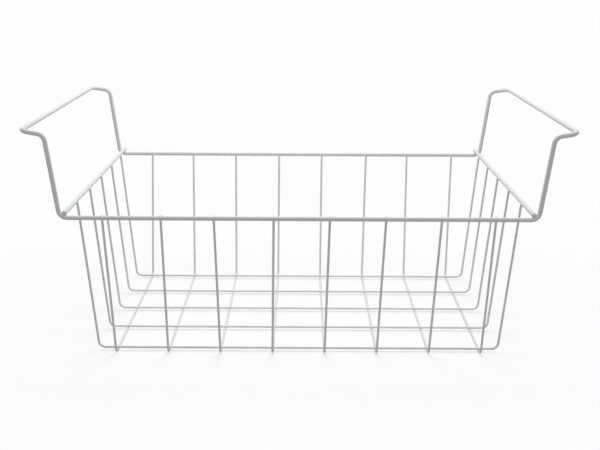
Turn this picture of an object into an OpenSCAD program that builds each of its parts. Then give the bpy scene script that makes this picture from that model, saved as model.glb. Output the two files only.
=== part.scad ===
// Hanging basket of welded and coated steel wire.
// One heavy wire is bent into a closed rim with a raised, out-turned handle at each end.
// Two heavy end rods lie in the lower bends of the rim, and thin U-shaped wires make the mesh.
// Millimetres, +X along the basket, +Y to the rear, +Z up, origin on the floor under the middle.

/* [Mesh] */
// Spacing of the mesh wires, the same along and across the basket
mesh_pitch = 60; // [54:1:64]
// Diameter of a coated mesh wire
mesh_d = 2.7; // [2:0.1:3.4]
// Bend radius of a mesh wire, on its axis
mesh_bend_r = 7.5; // [5:0.5:10]
// Distance from the last cross wire to the lower end corner of the basket
end_gap = 21; // [16:1:26]
// Length of a cross wire's tip past its weld on the rail
cross_tip = 2.2; // [1.5:0.1:4]
// Length of a long wire's tip past its weld on the end rod
long_tip = 1.2; // [1:0.1:4]

/* [Rim] */
// Length of a rail, corner to corner on its axis
rim_len = 508; // [500:1:530]
// Depth of the rim, from rail to rail on their axes
rim_dep = 322; // [310:1:340]
// Height of the rails' axes above the surface the basket stands on
rim_h = 172; // [140:1:220]
// Diameter of the coated rim wire and of the end rods
rim_d = 5; // [4:0.1:5.8]
// Bend radius where a rail turns up into an upright, on its axis
rail_bend_r = 9; // [8:0.5:12]

/* [End rods] */
// Place of an end rod round the rail's bend, from on the rail at 0 to against the upright at 80
rod_seat = 35; // [25:1:50]
// Length of an end rod past the front rail's axis
rod_front = 2; // [1:0.5:6]
// Length of an end rod past the rear rail's axis
rod_rear = 6; // [1:0.5:8]

/* [Handles] */
// Height of an upright above its rail
upright_h = 89; // [70:1:110]
// Outward lean of an upright over its height
upright_lean = 10; // [0:1:20]
// Reach of a handle out from the upright
handle_out = 24; // [20:1:40]
// Rise of a handle over that reach
handle_rise = 4; // [0:1:8]
// Bend radius at the top of an upright, on its axis
top_bend_r = 9; // [7:0.5:11]
// Bend radius at a corner of a handle, on its axis
handle_bend_r = 10; // [7:0.5:12]

/* [Welds] */
// Depth to which two welded wires press into each other
weld_set = 0.35; // [0.2:0.05:0.5]
// Bevel on the cut end of a wire
end_bevel = 0.5; // [0.2:0.1:0.7]
// Extra thickness of the coat round a bend
bend_coat = 0.05; // [0.03:0.01:0.1]

/* [Hidden] */
$fn = 48;
coat = "whitesmoke";
cross_count = 8;
long_count = 5;

// Sideways drift of each cross wire's front and rear tip, as the welding jig left it
front_drift = [0, 2.5, -1, 3, 3, 3, 2.5, 0];
rear_drift = [2.5, 0, 0, 1, 1, 3.5, 1, 4];

// Length by which a straight run reaches into the bend beside it
bend_lap = 0.4;

cross_names = [for (i = [1:cross_count]) str("cross_wire_", i)];
long_names = [for (j = [1:long_count]) str("long_wire_", j)];

// Heights of the wire axes in the floor
cross_z = mesh_d / 2;
long_z = cross_z + mesh_d - weld_set;
// Half sizes of the floor, from the middle to the corner of a mesh wire
floor_x = (cross_count - 1) / 2 * mesh_pitch + end_gap;
floor_y = (long_count - 1) / 2 * mesh_pitch + mesh_d / 2 + mesh_bend_r;

// Half sizes of the rim
rim_x = rim_len / 2;
rim_y = rim_dep / 2;
// Bend of a rail into its upright, in the plane of the rail
rail_turn = 90 - atan2(upright_lean, upright_h);
rail_trim = rail_bend_r * tan(rail_turn / 2);
// Seat of an end rod inside that bend
rod_nest = rail_bend_r - rim_d + weld_set;
rod_x = rim_x - rail_trim + rod_nest * sin(rod_seat);
rod_z = rim_h + rail_bend_r - rod_nest * cos(rod_seat);

// Distance between the axes of a mesh wire and the rim wire or rod it is welded to
weld_gap = (rim_d + mesh_d) / 2 - weld_set;

function cross_x(i) = (i - (cross_count - 1) / 2) * mesh_pitch;
function long_y(j) = (j - (long_count - 1) / 2) * mesh_pitch;
function unit(v) = v / norm(v);

// Tip of a leg that rises from a corner at [out, up] and passes a bar at [out, up] on its inner side
function leg_tip(corner, bar, tip) =
    let (
        span = bar - corner,
        lean = atan2(span.x, span.y) - asin(weld_gap / norm(span)),
        reach = sqrt(span * span - weld_gap * weld_gap) + tip
    )
    corner + reach * [sin(lean), cos(lean)];

cross_leg = leg_tip([floor_y, cross_z], [rim_y, rim_h], cross_tip);
long_leg = leg_tip([floor_x, long_z], [rod_x, rod_z], long_tip);

function cross_path(i) = [
    [cross_x(i) + front_drift[i], -cross_leg.x, cross_leg.y],
    [cross_x(i), -floor_y, cross_z],
    [cross_x(i), floor_y, cross_z],
    [cross_x(i) + rear_drift[i], cross_leg.x, cross_leg.y]
];

function long_path(j) = [
    [-long_leg.x, long_y(j), long_leg.y],
    [-floor_x, long_y(j), long_z],
    [floor_x, long_y(j), long_z],
    [long_leg.x, long_y(j), long_leg.y]
];

// Corners of the rim on one quarter, from its rail up to its handle
function rim_corners(sx, sy) = [
    [sx * rim_x, sy * rim_y, rim_h],
    [sx * (rim_x + upright_lean), sy * rim_y, rim_h + upright_h],
    [sx * (rim_x + upright_lean + handle_out), sy * rim_y, rim_h + upright_h + handle_rise]
];
function backwards(list) = [for (k = [len(list) - 1:-1:0]) list[k]];

rim_path = concat(
    rim_corners(1, -1), backwards(rim_corners(1, 1)),
    rim_corners(-1, 1), backwards(rim_corners(-1, -1))
);
quarter_bends = [rail_bend_r, top_bend_r, handle_bend_r];
rim_bends = concat(
    quarter_bends, backwards(quarter_bends),
    quarter_bends, backwards(quarter_bends)
);

// Turns the vertical to a way in space, at a point
module along(start, way) {
    translate(start)
        rotate([0, acos(way.z), atan2(way.y, way.x)])
            children();
}

// Straight length of round wire, with a bevel on each end that is cut
module wire_run(start, stop, d, cut_start = false, cut_stop = false) {
    length = norm(stop - start);
    low = cut_start ? end_bevel : 0;
    high = cut_stop ? end_bevel : 0;
    along(start, unit(stop - start))
        rotate_extrude()
            polygon([
                [0, 0], [d / 2 - low, 0], [d / 2, low],
                [d / 2, length - high], [d / 2 - high, length], [0, length]
            ]);
}

// Round bend at a corner, from the way in to the way out
module wire_bend(corner, way_in, way_out, r, d) {
    turn = acos(way_in * way_out);
    axis = unit(cross(way_in, way_out));
    inward = cross(axis, way_in);
    centre = corner - way_in * bend_trim(way_in, way_out, r) + inward * r;
    multmatrix([
        [-inward.x, way_in.x, axis.x, centre.x],
        [-inward.y, way_in.y, axis.y, centre.y],
        [-inward.z, way_in.z, axis.z, centre.z],
        [0, 0, 0, 1]
    ])
        rotate_extrude(angle = turn)
            translate([r, 0]) circle(d = d + 2 * bend_coat);
}

// Length that a bend takes off each straight run beside it
function bend_trim(way_in, way_out, r) = r * tan(acos(way_in * way_out) / 2);

// Wire bent round the corners of a closed path
module closed_wire(path, bends, d) {
    n = len(path);
    ways = [for (k = [0:n - 1]) unit(path[(k + 1) % n] - path[k])];
    trims = [for (k = [0:n - 1]) bend_trim(ways[(k + n - 1) % n], ways[k], bends[k]) - bend_lap];
    for (k = [0:n - 1]) {
        wire_bend(path[k], ways[(k + n - 1) % n], ways[k], bends[k], d);
        wire_run(path[k] + ways[k] * trims[k], path[(k + 1) % n] - ways[k] * trims[(k + 1) % n], d);
    }
}

// Wire with two cut ends, bent to one radius at every corner between them
module open_wire(path, r, d) {
    last = len(path) - 1;
    ways = [for (k = [0:last - 1]) unit(path[k + 1] - path[k])];
    trims = [for (k = [0:last])
        k == 0 || k == last ? 0 : bend_trim(ways[k - 1], ways[k], r) - bend_lap];
    for (k = [0:last - 1])
        wire_run(
            path[k] + ways[k] * trims[k], path[k + 1] - ways[k] * trims[k + 1], d,
            cut_start = k == 0, cut_stop = k == last - 1
        );
    for (k = [1:1:last - 1])
        wire_bend(path[k], ways[k - 1], ways[k], r, d);
}

// Plain rod of the rim's gauge, before the welds press it into the rim
module rod_stock(side) {
    front = [side * rod_x, -rim_y - rod_front, rod_z];
    rear = [side * rod_x, rim_y + rod_rear, rod_z];
    open_wire([front, rear], 0, rim_d);
}

// Bend of the rim that an end rod is welded into
module rail_corner(sx, sy) {
    corners = rim_corners(sx, sy);
    wire_bend(corners[0], [sx, 0, 0], unit(corners[1] - corners[0]), rail_bend_r, rim_d);
}

module rim_frame() {
    color(coat) closed_wire(rim_path, rim_bends, rim_d);
}

module end_rod(side) {
    color(coat) difference() {
        rod_stock(side);
        for (sy = [-1, 1]) rail_corner(side, sy);
    }
}

module left_end_rod() { end_rod(-1); }
module right_end_rod() { end_rod(1); }

// Wire from the front rail under the floor to the rear rail, pressed onto both rails
module cross_wire(i) {
    color(coat) difference() {
        open_wire(cross_path(i), mesh_bend_r, mesh_d);
        for (sy = [-1, 1])
            wire_run([-rim_x, sy * rim_y, rim_h], [rim_x, sy * rim_y, rim_h], rim_d);
    }
}

// Wire from one end rod along the floor to the other, pressed onto the cross wires and both rods
module long_wire(j) {
    color(coat) difference() {
        open_wire(long_path(j), mesh_bend_r, mesh_d);
        for (i = [0:cross_count - 1])
            wire_run([cross_x(i), -floor_y, cross_z], [cross_x(i), floor_y, cross_z], mesh_d);
        for (side = [-1, 1]) rod_stock(side);
    }
}

rim_frame();
left_end_rod();
right_end_rod();
for (i = [0:cross_count - 1])
    cross_wire(i);
for (j = [0:long_count - 1])
    long_wire(j);
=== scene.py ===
"""Looks of a hanging wire basket: coated wires swept round their bends, with a fillet at every weld."""

from __future__ import annotations

import logging
import math
from collections.abc import Iterable, Mapping, Sequence
from dataclasses import dataclass, field
from enum import Enum

import bpy
import numpy as np
from mathutils import Matrix, Vector

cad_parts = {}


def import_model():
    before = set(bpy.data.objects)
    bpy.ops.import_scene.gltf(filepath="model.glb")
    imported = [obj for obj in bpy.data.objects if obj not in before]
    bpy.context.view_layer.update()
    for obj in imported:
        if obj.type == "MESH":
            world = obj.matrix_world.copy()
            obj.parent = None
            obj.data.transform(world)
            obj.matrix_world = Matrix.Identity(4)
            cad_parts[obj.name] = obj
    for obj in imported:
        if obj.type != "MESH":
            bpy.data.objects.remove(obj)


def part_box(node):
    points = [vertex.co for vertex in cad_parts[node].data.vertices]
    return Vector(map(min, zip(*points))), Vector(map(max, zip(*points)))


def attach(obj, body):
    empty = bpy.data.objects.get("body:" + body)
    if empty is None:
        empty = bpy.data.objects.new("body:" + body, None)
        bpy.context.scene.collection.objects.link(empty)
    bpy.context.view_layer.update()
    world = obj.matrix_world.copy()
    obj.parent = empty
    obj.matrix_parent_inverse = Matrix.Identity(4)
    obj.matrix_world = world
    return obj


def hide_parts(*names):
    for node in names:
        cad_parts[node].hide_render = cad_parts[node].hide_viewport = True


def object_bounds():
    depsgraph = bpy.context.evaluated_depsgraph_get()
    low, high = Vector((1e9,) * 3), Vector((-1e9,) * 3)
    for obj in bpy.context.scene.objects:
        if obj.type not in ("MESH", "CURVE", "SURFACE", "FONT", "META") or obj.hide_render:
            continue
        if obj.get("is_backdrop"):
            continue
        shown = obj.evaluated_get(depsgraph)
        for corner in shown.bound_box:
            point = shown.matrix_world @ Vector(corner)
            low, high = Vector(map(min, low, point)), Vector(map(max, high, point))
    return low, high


LOG = logging.getLogger("basket")
MM = 0.001
BODY = "root"
BUILD_ATTRIBUTE = "coat_build"

# Coarse sampling: the longest step on a straight run in millimetres, and on a bend in degrees
RUN_STEP = 12.0
BEND_STEP = 6.0
LEAST_BEND_STEPS = 6

# Search for the place on a wire nearest to a spot: about the step in millimetres, and the least tries
SEARCH_STEP = 0.5
LEAST_SEARCH_SPOTS = 8

# The decimals of a millimetre to which two places on a wire are told apart
PLACE_DECIMALS = 4

# The rise of a tangent that counts as steep, and the sine below which two tangents count as one
STEEP = 0.9
LEAST_SINE = 1e-9

Point = np.ndarray
Colour = tuple[float, ...]


class Gauge(Enum):
    """The two gauges of wire, each with the number of sides of its swept tube."""

    RIM = 32
    MESH = 24


class Side(Enum):
    """The two ends of the basket, as the sign of X."""

    LEFT = -1
    RIGHT = 1

    @property
    def rod(self) -> str:
        """Name of the end rod at this end."""
        return f"{self.name.lower()}_end_rod"


class WeldKind(Enum):
    """The kinds of weld, each with the reach of its fillet of coat, in millimetres."""

    FLOOR = 1.4
    RAIL = 1.5
    ROD = 1.3
    CORNER = 2.0


def point(x: float, y: float, z: float) -> Point:
    """Returns a point or a vector as an array."""
    return np.array((x, y, z), float)


def unit(vector: Point) -> Point:
    """Returns the vector at length 1."""
    return vector / np.linalg.norm(vector)


def cross_name(i: int) -> str:
    """Returns the name of a cross wire, which runs from front to rear."""
    return f"cross_wire_{i + 1}"


def long_name(j: int) -> str:
    """Returns the name of a long wire, which runs from left to right."""
    return f"long_wire_{j + 1}"


def new_object(name: str, data: bpy.types.ID) -> bpy.types.Object:
    """Makes an object and links it to the scene.

    Args:
        name: The object's name.
        data: Its mesh, light or camera.

    Returns:
        The object.
    """
    made = bpy.data.objects.new(name, data)
    bpy.context.scene.collection.objects.link(made)
    return made


@dataclass(frozen=True)
class Straight:
    """A straight stretch of a wire's centreline, in millimetres."""

    start: Point
    stop: Point

    @property
    def length(self) -> float:
        """Length of the stretch."""
        return float(np.linalg.norm(self.stop - self.start))

    def at(self, along: float) -> tuple[Point, Point]:
        """Returns the point and the tangent at a length along the stretch."""
        way = unit(self.stop - self.start)
        return self.start + way * along, way

    def knots(self) -> np.ndarray:
        """Returns the lengths along the stretch of a coarse sampling."""
        count = max(1, math.ceil(self.length / RUN_STEP))
        return np.linspace(0.0, self.length, count + 1)


@dataclass(frozen=True)
class Bend:
    """A round stretch of a wire's centreline, in millimetres.

    Attributes:
        centre: The centre of the bend.
        arm: The way from the centre to the start, as long as the radius.
        ahead: The way that the wire runs at the start, as long as the radius.
        turn: The angle that the wire turns by, in radians.
    """

    centre: Point
    arm: Point
    ahead: Point
    turn: float

    @property
    def radius(self) -> float:
        """Radius of the bend."""
        return float(np.linalg.norm(self.arm))

    @property
    def length(self) -> float:
        """Length of the stretch."""
        return self.radius * self.turn

    def at(self, along: float) -> tuple[Point, Point]:
        """Finds a place on the stretch.

        Args:
            along: The length along the stretch.

        Returns:
            The point and the tangent there.
        """
        angle = along / self.radius
        spot = self.centre + self.arm * math.cos(angle) + self.ahead * math.sin(angle)
        way = self.ahead * math.cos(angle) - self.arm * math.sin(angle)
        return spot, way / self.radius

    def knots(self) -> np.ndarray:
        """Returns the lengths along the stretch of a coarse sampling."""
        count = max(LEAST_BEND_STEPS, math.ceil(math.degrees(self.turn) / BEND_STEP))
        return np.linspace(0.0, self.length, count + 1)


class Centreline:
    """The line down the middle of a bent wire: straight stretches joined by bends."""

    def __init__(self, corners: Sequence[Point], bends: Sequence[float], closed: bool) -> None:
        """Lays the stretches.

        Args:
            corners: The corners of the path, which for an open wire start and end at its tips.
            bends: The bend radius at each corner that the wire turns at.
            closed: Whether the last corner joins the first.
        """
        self.closed = closed
        count = len(corners)
        spans = count if closed else count - 1
        ways = [unit(corners[(k + 1) % count] - corners[k]) for k in range(spans)]
        turning = range(count) if closed else range(1, count - 1)
        trims = [0.0] * count
        made: dict[int, Bend] = {}
        for k, radius in zip(turning, bends):
            made[k], trims[k] = self.bend(corners[k], ways[k - 1], ways[k], radius)
        self.stretches: list[Straight | Bend] = []
        for k in range(spans):
            if k in made:
                self.stretches.append(made[k])
            after = (k + 1) % count
            start = corners[k] + ways[k] * trims[k]
            stop = corners[after] - ways[k] * trims[after]
            self.stretches.append(Straight(start, stop))
        lengths = [stretch.length for stretch in self.stretches]
        self.starts = np.concatenate([[0.0], np.cumsum(lengths)])

    @staticmethod
    def bend(corner: Point, way_in: Point, way_out: Point, radius: float) -> tuple[Bend, float]:
        """Rounds a corner.

        Args:
            corner: The corner.
            way_in: The way that the wire runs before it.
            way_out: The way that the wire runs after it.
            radius: The bend radius.

        Returns:
            The bend, and the length that it takes off the straight on each side.
        """
        turn = math.acos(float(np.clip(way_in @ way_out, -1.0, 1.0)))
        trim = radius * math.tan(turn / 2)
        inward = np.cross(unit(np.cross(way_in, way_out)), way_in)
        start = corner - way_in * trim
        return Bend(start + inward * radius, -inward * radius, way_in * radius, turn), trim

    @property
    def length(self) -> float:
        """Length of the whole wire."""
        return float(self.starts[-1])

    def at(self, along: float) -> tuple[Point, Point]:
        """Finds a place on the wire.

        Args:
            along: The length along the wire.

        Returns:
            The point and the tangent there.
        """
        if self.closed:
            along = along % self.length
        before = int(np.searchsorted(self.starts, along, side="right")) - 1
        k = min(max(before, 0), len(self.stretches) - 1)
        return self.stretches[k].at(along - float(self.starts[k]))

    def knots(self) -> np.ndarray:
        """Returns the lengths along the wire of a coarse sampling."""
        parts = [start + stretch.knots() for start, stretch in zip(self.starts, self.stretches)]
        return np.unique(np.round(np.concatenate(parts), PLACE_DECIMALS))

    def polyline(self) -> np.ndarray:
        """Returns the points of a coarse sampling of the wire."""
        return np.array([self.at(along)[0] for along in self.knots()])

    def nearest(self, spot: Point) -> float:
        """Finds the place on the wire that is nearest to a spot.

        Args:
            spot: The spot.

        Returns:
            The length along the wire.
        """
        best = (math.inf, 0.0)
        for start, stretch in zip(self.starts, self.stretches):
            count = max(LEAST_SEARCH_SPOTS, int(stretch.length / SEARCH_STEP))
            lengths = np.linspace(0.0, stretch.length, count)
            gaps = [float(np.linalg.norm(stretch.at(along)[0] - spot)) for along in lengths]
            k = int(np.argmin(gaps))
            best = min(best, (gaps[k], float(start + lengths[k])))
        return best[1]


@dataclass(frozen=True)
class Weld:
    """A spot where two wires are welded and the coat fills the gap round it."""

    spot: Point
    kind: WeldKind

    @property
    def fillet(self) -> float:
        """Reach of the fillet of coat."""
        return self.kind.value


@dataclass
class CoatedWire:
    """One bent wire with its coat, swept as a closed tube, in millimetres.

    Attributes:
        name: The wire's name, which is the name of the CAD node that it stands for.
        gauge: The gauge of the wire.
        diameter: Its diameter over the coat.
        line: Its centreline.
        seed: A number that sets the small waves of its coat.
        welds: Its welds, each with the wire on the other side of it.
        coat_wave: The height of the coat's waves to each side of their middle.
        wave_turns: How often each of the waves that add up repeats along the wire.
        rim_tip, mesh_tip: The length of a heavy and of a thin wire's tip, as shares of the radius.
        tip_rings: The number of rings on a tip.
        weld_reach, weld_step: How far the close rings go to each side of a weld, and their step.
        ring_gap: The least step between two rings, as a share of weld_step.
        fillet_span: How far from a weld the coat may gather.
        partner_span: How far from a weld the other wire counts.
        passes, pace: The passes in which the coat gathers, and the share of the way that each covers.
        most_rise: The most that the coat rises, as a share of the fillet's reach.
        full_rise: The rise that counts as a full build-up of coat.
    """

    name: str
    gauge: Gauge
    diameter: float
    line: Centreline
    seed: int
    welds: list[tuple[Weld, CoatedWire]] = field(default_factory=list)

    coat_wave: float = 0.03
    wave_turns: tuple[int, ...] = (3, 7, 13, 29)
    rim_tip: float = 0.6
    mesh_tip: float = 1.0
    tip_rings: int = 6
    weld_reach: float = 5.5
    weld_step: float = 0.35
    ring_gap: float = 0.4
    fillet_span: float = 11.0
    partner_span: float = 22.0
    passes: int = 14
    pace: float = 0.7
    most_rise: float = 0.3
    full_rise: float = 0.4

    @property
    def radius(self) -> float:
        """Radius over the coat."""
        return self.diameter / 2

    @property
    def tip(self) -> float:
        """Length of a rounded tip: the coat leaves a cut rod rather flat, and a thin wire round."""
        return self.radius * (self.rim_tip if self.gauge is Gauge.RIM else self.mesh_tip)

    def stations(self) -> np.ndarray:
        """Places the tube's rings: coarse along the runs, closer in the bends and closest at the welds.

        Returns:
            The length along the wire of each ring, apart from those of the tips.
        """
        count = int(2 * self.weld_reach / self.weld_step) + 1
        middles = [self.line.nearest(weld.spot) for weld, _ in self.welds]
        close = np.concatenate(
            [np.linspace(middle - self.weld_reach, middle + self.weld_reach, count) for middle in middles]
        )
        if self.line.closed:
            close = close % self.line.length
        coarse = self.line.knots()
        gap = np.abs(coarse[:, None] - close[None, :]).min(axis=1)
        merged = np.sort(np.concatenate([coarse[gap > self.weld_step], close]))
        least = self.weld_step * self.ring_gap
        merged = merged[np.concatenate([[True], np.diff(merged) > least])]
        if self.line.closed:
            return merged[merged < self.line.length - least]
        return merged[(merged > self.tip) & (merged < self.line.length - self.tip)]

    def rings(self) -> tuple[np.ndarray, np.ndarray, np.ndarray]:
        """Lays the tube's rings, those of the rounded tips included.

        Returns:
            The centre of each ring, its tangent, and its share of the full radius.
        """
        lengths = self.stations()
        shares = np.ones(len(lengths))
        if not self.line.closed:
            angles = np.linspace(0.0, math.pi / 2, self.tip_rings + 1)[1:]
            rise = self.tip * (1 - np.cos(angles))
            lengths = np.concatenate([rise, lengths, self.line.length - rise[::-1]])
            shares = np.concatenate([np.sin(angles), shares, np.sin(angles[::-1])])
        places = [self.line.at(float(along)) for along in lengths]
        centres = np.array([spot for spot, _ in places])
        tangents = np.array([way for _, way in places])
        return centres, tangents, shares

    def spokes(self, tangents: np.ndarray) -> np.ndarray:
        """Finds the directions from each ring's centre to its vertices, turned as little as possible.

        Args:
            tangents: The tangent at each ring.

        Returns:
            An array of rings by sides by three.
        """
        helper = point(0, 0, 1) if abs(tangents[0][2]) < STEEP else point(1, 0, 0)
        arm = unit(np.cross(tangents[0], helper))
        arms = [arm]
        for before, after in zip(tangents[:-1], tangents[1:]):
            arm = self.carried(arm, before, after)
            arms.append(arm)
        # On a loop the twist that is left at the end is spread over all the rings
        twist = 0.0
        if self.line.closed:
            last = self.carried(arm, tangents[-1], tangents[0])
            side = np.cross(tangents[0], arms[0])
            twist = math.atan2(float(last @ side), float(last @ arms[0]))
        first = np.array(arms)
        second = np.cross(tangents, first)
        around = np.linspace(0.0, 2 * math.pi, self.gauge.value, endpoint=False)
        back = -twist * np.arange(len(tangents)) / len(tangents)
        angles = (around[None, :] + back[:, None])[..., None]
        return first[:, None, :] * np.cos(angles) + second[:, None, :] * np.sin(angles)

    @staticmethod
    def carried(arm: Point, before: Point, after: Point) -> Point:
        """Carries an arm from one tangent to the next without twist.

        Args:
            arm: The arm, square to the first tangent.
            before: The first tangent.
            after: The next tangent.

        Returns:
            The arm, square to the next tangent.
        """
        axis = np.cross(before, after)
        sine = float(np.linalg.norm(axis))
        if sine > LEAST_SINE:
            turn = Matrix.Rotation(math.atan2(sine, float(before @ after)), 3, Vector(axis))
            arm = np.array(turn @ Vector(arm))
        return unit(arm - after * float(arm @ after))

    def links(self, spot: Point) -> tuple[np.ndarray, np.ndarray]:
        """Cuts the centreline into short straight links, and picks those near a spot.

        Args:
            spot: A spot on the wire.

        Returns:
            The start of each link, and the way from there to its end.
        """
        chain = self.line.polyline()
        if self.line.closed:
            chain = np.vstack([chain, chain[:1]])
        else:
            # The ends are drawn in, so that the last links' round ends reach just to the wire's tips
            chain[0] += unit(chain[1] - chain[0]) * self.radius
            chain[-1] += unit(chain[-2] - chain[-1]) * self.radius
        starts, steps = chain[:-1], np.diff(chain, axis=0)
        squares = np.einsum("ij,ij->i", steps, steps)
        shares = np.clip(np.einsum("ij,ij->i", spot - starts, steps) / squares, 0, 1)
        gaps = np.linalg.norm(starts + steps * shares[:, None] - spot, axis=1)
        near = gaps < self.partner_span
        return starts[near], steps[near]

    def distance(self, spots: np.ndarray, links: tuple[np.ndarray, np.ndarray]) -> np.ndarray:
        """Measures how far spots lie outside this wire's coat.

        Args:
            spots: The spots to measure from, an array whose last axis is three long.
            links: The starts and ways of the wire's links that count.

        Returns:
            The distances, below 0 inside the wire.
        """
        best = np.full(spots.shape[:-1], math.inf)
        for start, step in zip(*links):
            offset = spots - start
            share = np.clip(offset @ step / (step @ step), 0, 1)
            best = np.minimum(best, np.linalg.norm(offset - share[..., None] * step, axis=-1))
        return best - self.radius

    def waved(self, centres: np.ndarray) -> np.ndarray:
        """Adds the small waves of the coat, which stay inside the wire's full radius.

        Args:
            centres: The centre of each ring.

        Returns:
            The radius at each ring.
        """
        draw = np.random.default_rng(self.seed)
        run = np.concatenate([[0.0], np.cumsum(np.linalg.norm(np.diff(centres, axis=0), axis=1))])
        wave = np.zeros(len(run))
        for turns in self.wave_turns:
            wave += np.sin(2 * math.pi * turns * run / self.line.length + draw.uniform(0, 2 * math.pi))
        return self.radius + self.coat_wave * (wave / len(self.wave_turns) - 1)

    def radii(
        self, centres: np.ndarray, spokes: np.ndarray, shares: np.ndarray
    ) -> tuple[np.ndarray, np.ndarray]:
        """Finds the radius at every vertex of the tube, with the fillets of coat at the welds.

        Args:
            centres: The centre of each ring.
            spokes: The directions from the centres to the vertices.
            shares: Each ring's share of the full radius.

        Returns:
            The radii, and the build-up of coat from 0 to 1.
        """
        base = self.waved(centres) * shares
        plain = np.repeat(base[:, None], spokes.shape[1], axis=1)
        radii = plain.copy()
        for weld, partner in self.welds:
            rows = np.flatnonzero(np.linalg.norm(centres - weld.spot, axis=1) < self.fillet_span)
            links = partner.links(weld.spot)
            own = plain[rows]
            grown = own.copy()
            for _ in range(self.passes):
                spots = centres[rows][:, None, :] + spokes[rows] * grown[..., None]
                gap = smooth_union(grown - own, partner.distance(spots, links), weld.fillet)
                grown = np.clip(grown - self.pace * gap, own, own + self.most_rise * weld.fillet)
            radii[rows] = np.maximum(radii[rows], own + (grown - own) * shares[rows][:, None])
        return radii, np.clip((radii - plain) / self.full_rise, 0, 1)

    def faces(self, index: np.ndarray) -> list[list[int]]:
        """Joins the tube's vertices, with a fan of triangles round the pole of each tip.

        Args:
            index: The number of each vertex, by rings and sides. The two poles have the next numbers.

        Returns:
            The numbers of each face's vertices.
        """
        lower = index if self.line.closed else index[:-1]
        upper = np.roll(index, -1, axis=0) if self.line.closed else index[1:]
        quads = np.stack([lower, np.roll(lower, -1, 1), np.roll(upper, -1, 1), upper], -1)
        faces = quads.reshape(-1, 4).tolist()
        if not self.line.closed:
            low, high = index.size, index.size + 1
            sides = index.shape[1]
            for k in range(sides):
                after = (k + 1) % sides
                faces.append([low, int(index[0, after]), int(index[0, k])])
                faces.append([high, int(index[-1, k]), int(index[-1, after])])
        return faces

    def build(self) -> bpy.types.Object:
        """Makes the wire's mesh, in metres, with the build-up of its coat as an attribute.

        Returns:
            The piece.
        """
        centres, tangents, shares = self.rings()
        spokes = self.spokes(tangents)
        radii, build_up = self.radii(centres, spokes, shares)
        spots = (centres[:, None, :] + spokes * radii[..., None]).reshape(-1, 3)
        values = build_up.reshape(-1)
        if not self.line.closed:
            poles = np.array([self.line.at(0.0)[0], self.line.at(self.line.length)[0]])
            spots = np.vstack([spots, poles])
            values = np.concatenate([values, [0.0, 0.0]])
        index = np.arange(radii.size).reshape(radii.shape)
        mesh = bpy.data.meshes.new(self.name)
        mesh.from_pydata((spots * MM).tolist(), [], self.faces(index))
        mesh.shade_smooth()
        attribute = mesh.attributes.new(BUILD_ATTRIBUTE, "FLOAT", "POINT")
        attribute.data.foreach_set("value", values.astype(np.float32))
        mesh.validate()
        return new_object(f"coated_{self.name}", mesh)


def smooth_union(first: np.ndarray, second: np.ndarray, fillet: float) -> np.ndarray:
    """Returns the distances to two shapes joined by a fillet, from the distances to each of them."""
    near = np.clip(fillet - np.abs(first - second), 0, None) / fillet
    return np.minimum(first, second) - near * near * fillet / 4


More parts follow.
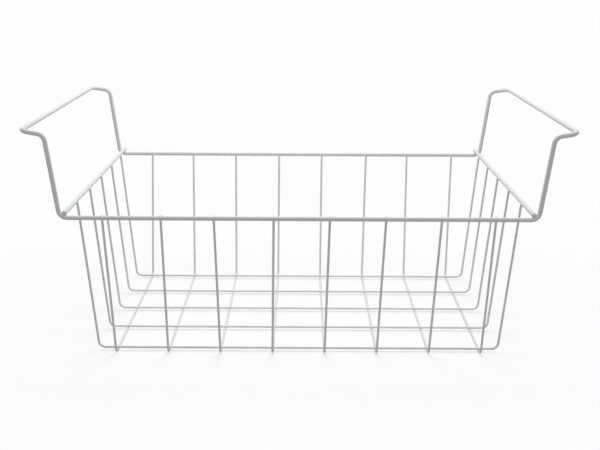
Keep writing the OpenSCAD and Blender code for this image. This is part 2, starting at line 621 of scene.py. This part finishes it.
@dataclass(frozen=True)
class BasketSizes:
    """The sizes of the basket in millimetres and degrees, as its solids have them.

    Attributes:
        mesh_pitch: The spacing of the mesh wires, both ways.
        mesh_diameter, mesh_bend: The diameter and the bend radius of a mesh wire.
        end_gap: The way from the last cross wire to the corner of a long wire.
        cross_tip, long_tip: The length of a cross wire and of a long wire past its weld at the top.
        rim_length, rim_depth, rim_height: The length of a rail, the way between rails, and their height.
        rim_diameter: The diameter of the rim's wire and of the end rods.
        rail_bend, top_bend, handle_bend: The rim's bend radii at a rail, an upright's top and a handle.
        rod_seat: The place of an end rod round the rail's bend.
        rod_front, rod_rear: The length of an end rod past the front rail and past the rear rail.
        upright_height, upright_lean: The height of an upright, and its outward lean over that height.
        handle_out, handle_rise: The reach of a handle out from its uprights, and its rise over that.
        weld_set: The depth to which welded wires press into each other.
        front_drift, rear_drift: The sideways drift of each cross wire's front tip and rear tip.
        long_count: The number of long wires.
    """

    mesh_pitch: float = 60.0
    mesh_diameter: float = 2.7
    mesh_bend: float = 7.5
    end_gap: float = 21.0
    cross_tip: float = 2.2
    long_tip: float = 1.2
    rim_length: float = 508.0
    rim_depth: float = 322.0
    rim_height: float = 172.0
    rim_diameter: float = 5.0
    rail_bend: float = 9.0
    rod_seat: float = 35.0
    rod_front: float = 2.0
    rod_rear: float = 6.0
    upright_height: float = 89.0
    upright_lean: float = 10.0
    handle_out: float = 24.0
    handle_rise: float = 4.0
    top_bend: float = 9.0
    handle_bend: float = 10.0
    weld_set: float = 0.35
    front_drift: tuple[float, ...] = (0, 2.5, -1, 3, 3, 3, 2.5, 0)
    rear_drift: tuple[float, ...] = (2.5, 0, 0, 1, 1, 3.5, 1, 4)
    long_count: int = 5

    @property
    def cross_count(self) -> int:
        """Number of cross wires."""
        return len(self.front_drift)

    @property
    def cross_z(self) -> float:
        """Height of a cross wire's centreline in the floor."""
        return self.mesh_diameter / 2

    @property
    def long_z(self) -> float:
        """Height of a long wire's centreline in the floor."""
        return self.cross_z + self.mesh_diameter - self.weld_set

    @property
    def floor_x(self) -> float:
        """Half the length of the floor, to the corner of a long wire."""
        return (self.cross_count - 1) / 2 * self.mesh_pitch + self.end_gap

    @property
    def floor_y(self) -> float:
        """Half the depth of the floor, to the corner of a cross wire."""
        return (self.long_count - 1) / 2 * self.mesh_pitch + self.mesh_diameter / 2 + self.mesh_bend

    @property
    def rod_middle(self) -> tuple[float, float]:
        """Place of an end rod, nested in the rail's bend.

        Returns:
            Distance out and height of its centreline.
        """
        turn = math.pi / 2 - math.atan2(self.upright_lean, self.upright_height)
        start = self.rim_length / 2 - self.rail_bend * math.tan(turn / 2)
        nest = self.rail_bend - self.rim_diameter + self.weld_set
        seat = math.radians(self.rod_seat)
        return start + nest * math.sin(seat), self.rim_height + self.rail_bend - nest * math.cos(seat)

    def cross_x(self, i: int) -> float:
        """Returns the place of a cross wire along the floor."""
        return (i - (self.cross_count - 1) / 2) * self.mesh_pitch

    def long_y(self, j: int) -> float:
        """Returns the place of a long wire across the floor."""
        return (j - (self.long_count - 1) / 2) * self.mesh_pitch

    def leg_tip(
        self, corner: tuple[float, float], bar: tuple[float, float], tip: float
    ) -> tuple[float, float]:
        """Finds the tip of a leg that rises from a corner and passes a bar on its inner side.

        Args:
            corner: Distance out and height of the corner.
            bar: Distance out and height of the bar's centreline.
            tip: Length of the leg past its weld.

        Returns:
            Distance out and height of the tip.
        """
        gap = (self.rim_diameter + self.mesh_diameter) / 2 - self.weld_set
        out, up = bar[0] - corner[0], bar[1] - corner[1]
        span = math.hypot(out, up)
        lean = math.atan2(out, up) - math.asin(gap / span)
        reach = math.sqrt(span * span - gap * gap) + tip
        return corner[0] + reach * math.sin(lean), corner[1] + reach * math.cos(lean)


class Socket:
    """A shader socket that adds Math nodes when it is used in arithmetic."""

    def __init__(self, graph: ShaderGraph, socket: bpy.types.NodeSocket | None) -> None:
        """Wraps a socket of a graph."""
        self.graph = graph
        self.socket = socket

    def math(self, operation: str, *terms: Socket | float) -> Socket:
        """Returns the result of a Math node on the terms."""
        return self.graph.add("ShaderNodeMath", {"operation": operation}, dict(enumerate(terms)))

    def __add__(self, other: Socket | float) -> Socket:
        """Adds."""
        return self.math("ADD", self, other)

    def __radd__(self, other: float) -> Socket:
        """Adds, with the number first."""
        return self.math("ADD", other, self)

    def __sub__(self, other: Socket | float) -> Socket:
        """Subtracts."""
        return self.math("SUBTRACT", self, other)

    def __rsub__(self, other: float) -> Socket:
        """Subtracts from a number."""
        return self.math("SUBTRACT", other, self)

    def __mul__(self, other: Socket | float) -> Socket:
        """Multiplies."""
        return self.math("MULTIPLY", self, other)

    def __rmul__(self, other: float) -> Socket:
        """Multiplies, with the number first."""
        return self.math("MULTIPLY", other, self)

    def __truediv__(self, other: Socket | float) -> Socket:
        """Divides."""
        return self.math("DIVIDE", self, other)

    def __rtruediv__(self, other: float) -> Socket:
        """Divides a number."""
        return self.math("DIVIDE", other, self)

    def root(self) -> Socket:
        """Returns the square root."""
        return self.math("SQRT", self)

    def at_most(self, other: Socket | float) -> Socket:
        """Returns the smaller value."""
        return self.math("MINIMUM", self, other)

    def at_least(self, other: Socket | float) -> Socket:
        """Returns the larger value."""
        return self.math("MAXIMUM", self, other)


Value = Socket | float | Colour


class ShaderGraph:
    """A node tree that is filled by expressions."""

    def __init__(self, tree: bpy.types.NodeTree) -> None:
        """Empties a tree and takes it over."""
        self.tree = tree
        tree.nodes.clear()

    def add(
        self,
        kind: str,
        settings: Mapping[str, object] | None = None,
        inputs: Mapping[str | int, Value] | None = None,
        output: str | int = 0,
    ) -> Socket:
        """Adds a node.

        Args:
            kind: The node's type.
            settings: The node's own settings, which are set first.
            inputs: The values or links of its sockets, by name, identifier or number.
            output: The output to return, by name, identifier or number.

        Returns:
            The output socket, which is empty for a node that has none.
        """
        node = self.tree.nodes.new(kind)
        for key, value in (settings or {}).items():
            setattr(node, key, value)
        for key, value in (inputs or {}).items():
            socket = self.find(node.inputs, key)
            if isinstance(value, Socket):
                self.tree.links.new(value.socket, socket)
            else:
                socket.default_value = value
        return Socket(self, self.find(node.outputs, output) if len(node.outputs) else None)

    @staticmethod
    def find(sockets: Iterable[bpy.types.NodeSocket], key: str | int) -> bpy.types.NodeSocket:
        """Finds a socket.

        Args:
            sockets: The sockets of one side of a node.
            key: The number, the identifier or the name of the socket.

        Returns:
            The socket.
        """
        listed = list(sockets)
        if isinstance(key, int):
            return listed[key]
        for socket in listed:
            if socket.identifier == key:
                return socket
        return next(socket for socket in listed if socket.name == key and socket.enabled)

    def mix_colour(self, share: Value, first: Value, second: Value) -> Socket:
        """Returns a mix of two colours by the share of the second."""
        inputs = {"Factor_Float": share, "A_Color": first, "B_Color": second}
        return self.add("ShaderNodeMix", {"data_type": "RGBA"}, inputs, "Result_Color")

    def noise(self, place: Socket, scale: float, detail: float) -> Socket:
        """Returns a noise from 0 to 1 at a place."""
        return self.add("ShaderNodeTexNoise", inputs={"Vector": place, "Scale": scale, "Detail": detail})

    def surface(self, inputs: Mapping[str | int, Value]) -> None:
        """Ends a material's graph with a surface of these values."""
        shader = self.add("ShaderNodeBsdfPrincipled", inputs=inputs)
        self.add("ShaderNodeOutputMaterial", inputs={"Surface": shader})


def new_material(name: str) -> tuple[bpy.types.Material, ShaderGraph]:
    """Makes a material.

    Args:
        name: The material's name.

    Returns:
        The material and its empty graph.
    """
    material = bpy.data.materials.new(name)
    material.use_nodes = True
    return material, ShaderGraph(material.node_tree)


def grey(value: float) -> Colour:
    """Returns an opaque grey."""
    return (value, value, value, 1.0)


@dataclass(frozen=True)
class WhiteCoat:
    """White polyethylene coat, fused on the wire: satin, a little cloudy, with a fine orange peel.

    Attributes:
        name: The name of the material.
        thick, thin: The colours where the coat covers well and where it covers less.
        pooled, pool_share: The colour of a pool at a weld, and how far a full pool takes it on.
        cover, cloud_cover, grain_cover: The least cover, and what the clouds and the grain add to it.
        cloud, grain, peel: The scale and detail of the clouds, of the grain and of the orange peel.
        peel_height, peel_strength: The height of the orange peel in metres, and its strength.
        roughness, roughness_swing: The middle roughness, and how much it changes over the grain.
        pool_smooth: How much smoother a full pool is.
        ior: The refractive index of the coat.
        gloss: The level of its gloss, where 0.5 is what the index gives by itself.
    """

    name: str = "white_coat"
    thick: Colour = (0.845, 0.845, 0.848, 1.0)
    thin: Colour = (0.78, 0.78, 0.783, 1.0)
    pooled: Colour = (0.86, 0.86, 0.855, 1.0)
    pool_share: float = 0.6
    cover: float = 0.25
    cloud_cover: float = 0.6
    grain_cover: float = 0.3
    cloud: tuple[float, float] = (45.0, 3.0)
    grain: tuple[float, float] = (420.0, 2.0)
    peel: tuple[float, float] = (1100.0, 2.0)
    peel_height: float = 0.00002
    peel_strength: float = 0.35
    roughness: float = 0.55
    roughness_swing: float = 0.12
    pool_smooth: float = 0.08
    ior: float = 1.5
    gloss: float = 0.12

    def build(self) -> bpy.types.Material:
        """Makes the coat's material.

        Returns:
            The material.
        """
        material, graph = new_material(self.name)
        place = graph.add("ShaderNodeTexCoord", output="Object")
        cloud = graph.noise(place, *self.cloud)
        grain = graph.noise(place, *self.grain)
        peel = graph.noise(place, *self.peel)
        pool = graph.add("ShaderNodeAttribute", {"attribute_name": BUILD_ATTRIBUTE}, output="Fac")
        cover = (self.cover + self.cloud_cover * cloud + self.grain_cover * grain).at_most(1.0)
        colour = graph.mix_colour(cover, self.thin, self.thick)
        roughness = self.roughness + self.roughness_swing * (grain - 0.5) - self.pool_smooth * pool
        bump = {"Strength": self.peel_strength, "Distance": self.peel_height, "Height": peel}
        graph.surface(
            {
                "Base Color": graph.mix_colour(pool * self.pool_share, colour, self.pooled),
                "Roughness": roughness,
                "Normal": graph.add("ShaderNodeBump", inputs=bump),
                "IOR": self.ior,
                "Specular IOR Level": self.gloss,
            }
        )
        return material


@dataclass
class Basket:
    """The welded basket: its rim, its end rods and the two sets of mesh wires.

    Attributes:
        sizes: The sizes of the basket.
        wires: The wires that it is made of, by name.
    """

    sizes: BasketSizes = BasketSizes()
    wires: dict[str, CoatedWire] = field(default_factory=dict)

    def __post_init__(self) -> None:
        """Bends every wire and marks every weld."""
        self.rim()
        for side in Side:
            self.end_rod(side)
        for i in range(self.sizes.cross_count):
            self.cross_wire(i)
        for j in range(self.sizes.long_count):
            self.long_wire(j)
        self.weld_all()

    def lay(
        self, name: str, gauge: Gauge, corners: Sequence[Point], bends: Sequence[float], closed: bool = False
    ) -> None:
        """Adds a wire.

        Args:
            name: The name of the wire's CAD node.
            gauge: Its gauge.
            corners: The corners of its path.
            bends: The bend radius at each corner.
            closed: Whether it is a loop.
        """
        diameter = self.sizes.rim_diameter if gauge is Gauge.RIM else self.sizes.mesh_diameter
        line = Centreline(corners, bends, closed)
        self.wires[name] = CoatedWire(name, gauge, diameter, line, seed=len(self.wires) + 1)

    def rim_corners(self, sx: int, sy: int) -> list[Point]:
        """Lays out one quarter of the rim.

        Args:
            sx: The sign of X of the quarter.
            sy: The sign of Y of the quarter.

        Returns:
            The corners, from the rail up to the handle.
        """
        sizes = self.sizes
        rail_x, y = sx * sizes.rim_length / 2, sy * sizes.rim_depth / 2
        top_x = rail_x + sx * sizes.upright_lean
        top_z = sizes.rim_height + sizes.upright_height
        return [
            point(rail_x, y, sizes.rim_height),
            point(top_x, y, top_z),
            point(top_x + sx * sizes.handle_out, y, top_z + sizes.handle_rise),
        ]

    def rim(self) -> None:
        """Bends the rim loop: two rails, four uprights and two handles."""
        # Each quarter's signs of X and Y, and 1 where the loop runs up it or -1 where it runs down
        quarters = ((1, -1, 1), (1, 1, -1), (-1, 1, 1), (-1, -1, -1))
        radii = [self.sizes.rail_bend, self.sizes.top_bend, self.sizes.handle_bend]
        corners: list[Point] = []
        bends: list[float] = []
        for sx, sy, order in quarters:
            corners += self.rim_corners(sx, sy)[::order]
            bends += radii[::order]
        self.lay("rim_frame", Gauge.RIM, corners, bends, closed=True)

    def end_rod(self, side: Side) -> None:
        """Lays the rod in the rail bends at one end.

        Args:
            side: The end of the basket.
        """
        sizes = self.sizes
        out, z = sizes.rod_middle
        front = point(side.value * out, -sizes.rim_depth / 2 - sizes.rod_front, z)
        rear = point(side.value * out, sizes.rim_depth / 2 + sizes.rod_rear, z)
        self.lay(side.rod, Gauge.RIM, [front, rear], [])

    def cross_wire(self, i: int) -> None:
        """Bends a wire from the front rail under the floor to the rear rail.

        Args:
            i: The place of the wire, counted from the left.
        """
        sizes = self.sizes
        x = sizes.cross_x(i)
        rail = (sizes.rim_depth / 2, sizes.rim_height)
        out, up = sizes.leg_tip((sizes.floor_y, sizes.cross_z), rail, sizes.cross_tip)
        corners = [
            point(x + sizes.front_drift[i], -out, up),
            point(x, -sizes.floor_y, sizes.cross_z),
            point(x, sizes.floor_y, sizes.cross_z),
            point(x + sizes.rear_drift[i], out, up),
        ]
        self.lay(cross_name(i), Gauge.MESH, corners, [sizes.mesh_bend] * 2)

    def long_wire(self, j: int) -> None:
        """Bends a wire from one end rod along the floor to the other.

        Args:
            j: The place of the wire, counted from the front.
        """
        sizes = self.sizes
        y = sizes.long_y(j)
        out, up = sizes.leg_tip((sizes.floor_x, sizes.long_z), sizes.rod_middle, sizes.long_tip)
        corners = [
            point(-out, y, up),
            point(-sizes.floor_x, y, sizes.long_z),
            point(sizes.floor_x, y, sizes.long_z),
            point(out, y, up),
        ]
        self.lay(long_name(j), Gauge.MESH, corners, [sizes.mesh_bend] * 2)

    def weld(self, first: str, second: str, spot: Point, kind: WeldKind) -> None:
        """Marks a weld on both of its wires.

        Args:
            first: The name of one wire.
            second: The name of the other.
            spot: The place where they touch.
            kind: The kind of weld.
        """
        weld = Weld(spot, kind)
        self.wires[first].welds.append((weld, self.wires[second]))
        self.wires[second].welds.append((weld, self.wires[first]))

    def weld_all(self) -> None:
        """Marks the welds of the floor, the rails, the rods and the rim's corners."""
        sizes = self.sizes
        rod_x, rod_z = sizes.rod_middle
        rail_y = sizes.rim_depth / 2
        leg_share = sizes.rim_height / (sizes.rim_height + sizes.cross_tip)
        for i in range(sizes.cross_count):
            for j in range(sizes.long_count):
                spot = point(sizes.cross_x(i), sizes.long_y(j), (sizes.cross_z + sizes.long_z) / 2)
                self.weld(cross_name(i), long_name(j), spot, WeldKind.FLOOR)
            for sy, drift in ((-1, sizes.front_drift[i]), (1, sizes.rear_drift[i])):
                x = sizes.cross_x(i) + drift * leg_share
                spot = point(x, sy * (rail_y - sizes.rim_diameter / 2), sizes.rim_height)
                self.weld(cross_name(i), "rim_frame", spot, WeldKind.RAIL)
        for side in Side:
            for j in range(sizes.long_count):
                spot = point(side.value * (rod_x - sizes.rim_diameter / 2), sizes.long_y(j), rod_z)
                self.weld(long_name(j), side.rod, spot, WeldKind.ROD)
            for sy in (-1, 1):
                spot = point(side.value * rod_x, sy * rail_y, rod_z)
                self.weld(side.rod, "rim_frame", spot, WeldKind.CORNER)

    def build(self, coat: bpy.types.Material) -> list[bpy.types.Object]:
        """Makes every wire's piece and sets it in its node's place.

        Args:
            coat: The material of the coat.

        Returns:
            The pieces.
        """
        pieces = []
        for name, wire in self.wires.items():
            piece = wire.build()
            piece.data.materials.append(coat)
            self.compare(name, piece)
            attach(piece, BODY)
            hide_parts(name)
            pieces.append(piece)
        return pieces

    @staticmethod
    def compare(name: str, piece: bpy.types.Object) -> None:
        """Reports how far a piece's box lies from its node's box.

        Args:
            name: The name of the node.
            piece: The piece that stands for it.
        """
        low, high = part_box(name)
        spots = np.array([vertex.co for vertex in piece.data.vertices])
        off = np.abs([spots.min(0) - np.array(low), spots.max(0) - np.array(high)]).max()
        LOG.info("%s: %d vertices, box off by %.3f mm", piece.name, len(spots), off / MM)


@dataclass(frozen=True)
class PhotoCamera:
    """The camera of the photograph, fitted to the wires.

    Attributes:
        name: The name of the camera.
        lens: Its focal length, in millimetres.
        sensor: The width of its sensor, in millimetres.
        eye: Its place, in millimetres.
        tilt: The angle that it looks down by, in degrees.
        pan: The angle that it looks to the right by, in degrees.
        roll: The angle that its right side is raised by, in degrees.
        sight: How far it sees, in metres.
    """

    name: str = "photo_camera"
    lens: float = 51.93
    sensor: float = 36.0
    eye: tuple[float, float, float] = (1.47, -1041.0, 432.8)
    tilt: float = 16.91
    pan: float = -0.03
    roll: float = 0.28
    sight: float = 50.0

    def turn(self) -> Matrix:
        """Works out which way the camera faces.

        Returns:
            The rotation, whose columns are the camera's right, up and backward directions.
        """
        tilt, pan, roll = (math.radians(angle) for angle in (self.tilt, self.pan, self.roll))
        flat = math.cos(tilt)
        ahead = Vector((math.sin(pan) * flat, math.cos(pan) * flat, -math.sin(tilt)))
        level = Vector((math.cos(pan), -math.sin(pan), 0.0))
        above = level.cross(ahead)
        right = level * math.cos(roll) + above * math.sin(roll)
        up = above * math.cos(roll) - level * math.sin(roll)
        return Matrix((right, up, -ahead)).transposed()

    def build(self) -> None:
        """Makes the camera and gives it to the scene."""
        data = bpy.data.cameras.new(self.name)
        data.lens = self.lens
        data.sensor_width = self.sensor
        data.sensor_fit = "HORIZONTAL"
        data.clip_end = self.sight
        camera = new_object(self.name, data)
        camera.matrix_world = Matrix.Translation(Vector(self.eye) * MM) @ self.turn().to_4x4()
        bpy.context.scene.camera = camera


@dataclass(frozen=True)
class KeyLight:
    """A distant soft light.

    Attributes:
        name: The name of the light.
        height: Its height above the horizon, in degrees.
        heading: The angle that it stands to the left of the basket's rear, in degrees.
        spread: The angle that it is seen under, in degrees.
        level: Its light on a surface that faces it, where 1 lights a white surface to full white.
        colour: The colour of its light.
    """

    name: str
    height: float
    heading: float
    spread: float
    level: float
    colour: Colour

    @property
    def on_floor(self) -> float:
        """Its light on an open, level floor."""
        return self.level * math.sin(math.radians(self.height))

    def build(self) -> None:
        """Makes the light, and keeps it out of reflections, which show the white surroundings instead."""
        data = bpy.data.lights.new(self.name, "SUN")
        data.energy = self.level * math.pi
        data.angle = math.radians(self.spread)
        data.color = self.colour
        light = new_object(self.name, data)
        tilt = math.radians(90.0 - self.height)
        light.rotation_euler = (-tilt, 0.0, math.radians(self.heading))
        light.visible_glossy = False


@dataclass(frozen=True)
class OverheadLight:
    """A round soft light that faces straight down.

    Attributes:
        name: The name of the light.
        middle: The middle of the disk, in metres.
        radius: The radius of the disk, in metres.
        brightness: How bright the disk is, where 1 is white.
        colour: The colour of its light.
    """

    name: str
    middle: tuple[float, float, float]
    radius: float
    brightness: float
    colour: Colour

    def build(self) -> None:
        """Makes the light, whose power is its brightness times its area times pi."""
        data = bpy.data.lights.new(self.name, "AREA")
        data.shape = "DISK"
        data.size = 2 * self.radius
        data.energy = self.brightness * math.pi * math.pi * self.radius**2
        data.color = self.colour
        light = new_object(self.name, data)
        light.location = self.middle

    def on_floor(self, graph: ShaderGraph, level: float) -> Socket:
        """Works out the light on an open spot of the floor, by the view factor of a parallel disk.

        Args:
            graph: The floor's shader graph.
            level: The height of the floor, in metres.

        Returns:
            The light, where 1 lights a white surface to full white.
        """
        across, north = place_on_floor(graph)
        across, north = across - self.middle[0], north - self.middle[1]
        away = across * across + north * north
        height, radius = (self.middle[2] - level) ** 2, self.radius**2
        span = away + (height + radius)
        edge = (span * span - 4 * radius * away).root()
        return self.brightness / 2 * (1 - (away + (height - radius)) / edge)


def place_on_floor(graph: ShaderGraph) -> tuple[Socket, Socket]:
    """Reads the place of the spot that is shaded.

    Args:
        graph: The floor's shader graph.

    Returns:
        The X and the Y of the spot.
    """
    place = graph.add("ShaderNodeNewGeometry", output="Position")
    across = graph.add("ShaderNodeSeparateXYZ", inputs={"Vector": place}, output="X")
    north = graph.add("ShaderNodeSeparateXYZ", inputs={"Vector": place}, output="Y")
    return across, north


@dataclass(frozen=True)
class Studio:
    """The plain white studio: a floor with a paler sheet under the basket, a soft sky and two lights.

    Attributes:
        floor_half: Half the width of the floor, in metres.
        sheet_reach: Half the width and half the depth of the sheet, in metres.
        sheet_fade: The share of its reach over which the sheet fades out.
        sheet_albedo: The share of light that the sheet gives back.
        floor_albedo: The share of light that the floor round it gives back.
        white: The brightness of the background.
        horizon: The light of the sky from low down all around.
        zenith: The light of the sky from straight above.
        key: The light above and behind.
        fill: The soft light over the basket.
    """

    floor_half: float = 8.0
    sheet_reach: tuple[float, float] = (0.25, 0.112)
    sheet_fade: float = 0.2
    sheet_albedo: float = 0.77
    floor_albedo: float = 0.48
    white: float = 0.985
    horizon: float = 0.25
    zenith: float = 0.85
    key: KeyLight = KeyLight(
        "key_light", height=46.0, heading=-8.0, spread=60.0, level=0.27, colour=(0.83, 1.0, 1.12)
    )
    fill: OverheadLight = OverheadLight(
        "fill_light", middle=(0.0, 0.08, 0.7), radius=0.15, brightness=6.2, colour=(0.97, 1.0, 1.02)
    )

    @property
    def sky_on_floor(self) -> float:
        """The light of the sky on an open, level floor, as the sky brightens with the square of height."""
        return (self.horizon + self.zenith) / 2

    def build(self, level: float) -> None:
        """Makes the floor, the surroundings and the lights.

        Args:
            level: The height of the floor, in metres.
        """
        self.floor(level)
        self.surroundings()
        self.key.build()
        self.fill.build()
        bpy.context.scene.view_settings.view_transform = "Standard"

    @staticmethod
    def seen(graph: ShaderGraph) -> Socket:
        """Tells the rays that see the background from those that light the object.

        Args:
            graph: The shader graph.

        Returns:
            1 for a ray from the camera, off a glossy surface or through a clear one, and else 0.
        """
        camera = graph.add("ShaderNodeLightPath", output="Is Camera Ray")
        glossy = graph.add("ShaderNodeLightPath", output="Is Glossy Ray")
        through = graph.add("ShaderNodeLightPath", output="Is Transmission Ray")
        return (camera + glossy + through).at_most(1.0)

    def on_sheet(self, graph: ShaderGraph) -> Socket:
        """Marks the sheet, a rectangle with well-rounded corners.

        Args:
            graph: The floor's shader graph.

        Returns:
            1 on the sheet, 0 off it, and a fade between.
        """
        across, north = place_on_floor(graph)
        wide, deep = across / self.sheet_reach[0], north / self.sheet_reach[1]
        wide, deep = wide * wide, deep * deep
        away = (wide * wide + deep * deep).root().root()
        return ((1 + self.sheet_fade - away) / self.sheet_fade).at_least(0.0).at_most(1.0)

    def lack(self, graph: ShaderGraph, albedo: Socket, level: float) -> Socket:
        """Works out the glow that lifts an open spot of the floor to the background's white.

        Args:
            graph: The floor's shader graph.
            albedo: The share of light that the spot gives back.
            level: The height of the floor, in metres.

        Returns:
            The colour of the glow.
        """
        fill = self.fill.on_floor(graph, level)
        steady = [self.key.on_floor * share + self.sky_on_floor for share in self.key.colour]
        lit = [fill * share + light for share, light in zip(self.fill.colour, steady)]
        channels = [(self.white - albedo * light).at_least(0.0) for light in lit]
        return graph.add("ShaderNodeCombineColor", inputs=dict(enumerate(channels)))

    def floor(self, level: float) -> None:
        """Makes the floor: an even white wherever no wire shades it, and with the shadows of the wires.

        Args:
            level: The height of the floor, in metres.
        """
        half = self.floor_half
        corners = [(-half, -half, level), (half, -half, level), (half, half, level), (-half, half, level)]
        mesh = bpy.data.meshes.new("floor")
        mesh.from_pydata(corners, [], [(0, 1, 2, 3)])
        material, graph = new_material("white_floor")
        sheet = self.on_sheet(graph)
        albedo = self.floor_albedo + (self.sheet_albedo - self.floor_albedo) * sheet
        lack = self.lack(graph, albedo, level)
        graph.surface(
            {
                "Base Color": graph.mix_colour(sheet, grey(self.floor_albedo), grey(self.sheet_albedo)),
                "Roughness": 1.0,
                "Specular IOR Level": 0.0,
                "Emission Color": graph.mix_colour(self.seen(graph), grey(0.0), lack),
                "Emission Strength": 1.0,
            }
        )
        mesh.materials.append(material)
        floor = new_object("floor", mesh)
        floor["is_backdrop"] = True

    def surroundings(self) -> None:
        """Makes the world: white where it is seen, and elsewhere a soft light that grows overhead."""
        world = bpy.data.worlds.new("studio")
        world.use_nodes = True
        graph = ShaderGraph(world.node_tree)
        way = graph.add("ShaderNodeTexCoord", output="Generated")
        up = graph.add("ShaderNodeSeparateXYZ", inputs={"Vector": way}, output="Z").at_least(0.0)
        sky = graph.mix_colour(up * up, grey(self.horizon), grey(self.zenith))
        colour = graph.mix_colour(self.seen(graph), sky, grey(self.white))
        light = graph.add("ShaderNodeBackground", inputs={"Color": colour, "Strength": 1.0})
        graph.add("ShaderNodeOutputWorld", inputs={"Surface": light})
        bpy.context.scene.world = world


def main() -> None:
    """Loads the frame, builds the camera, the studio and the basket, and reports each piece."""
    logging.basicConfig(level=logging.INFO, format="%(name)s: %(message)s")
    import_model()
    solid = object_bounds()
    PhotoCamera().build()
    Studio().build(level=solid[0].z)
    pieces = Basket().build(WhiteCoat().build())
    LOG.info("%d pieces", len(pieces))


if __name__ == "__main__":
    main()
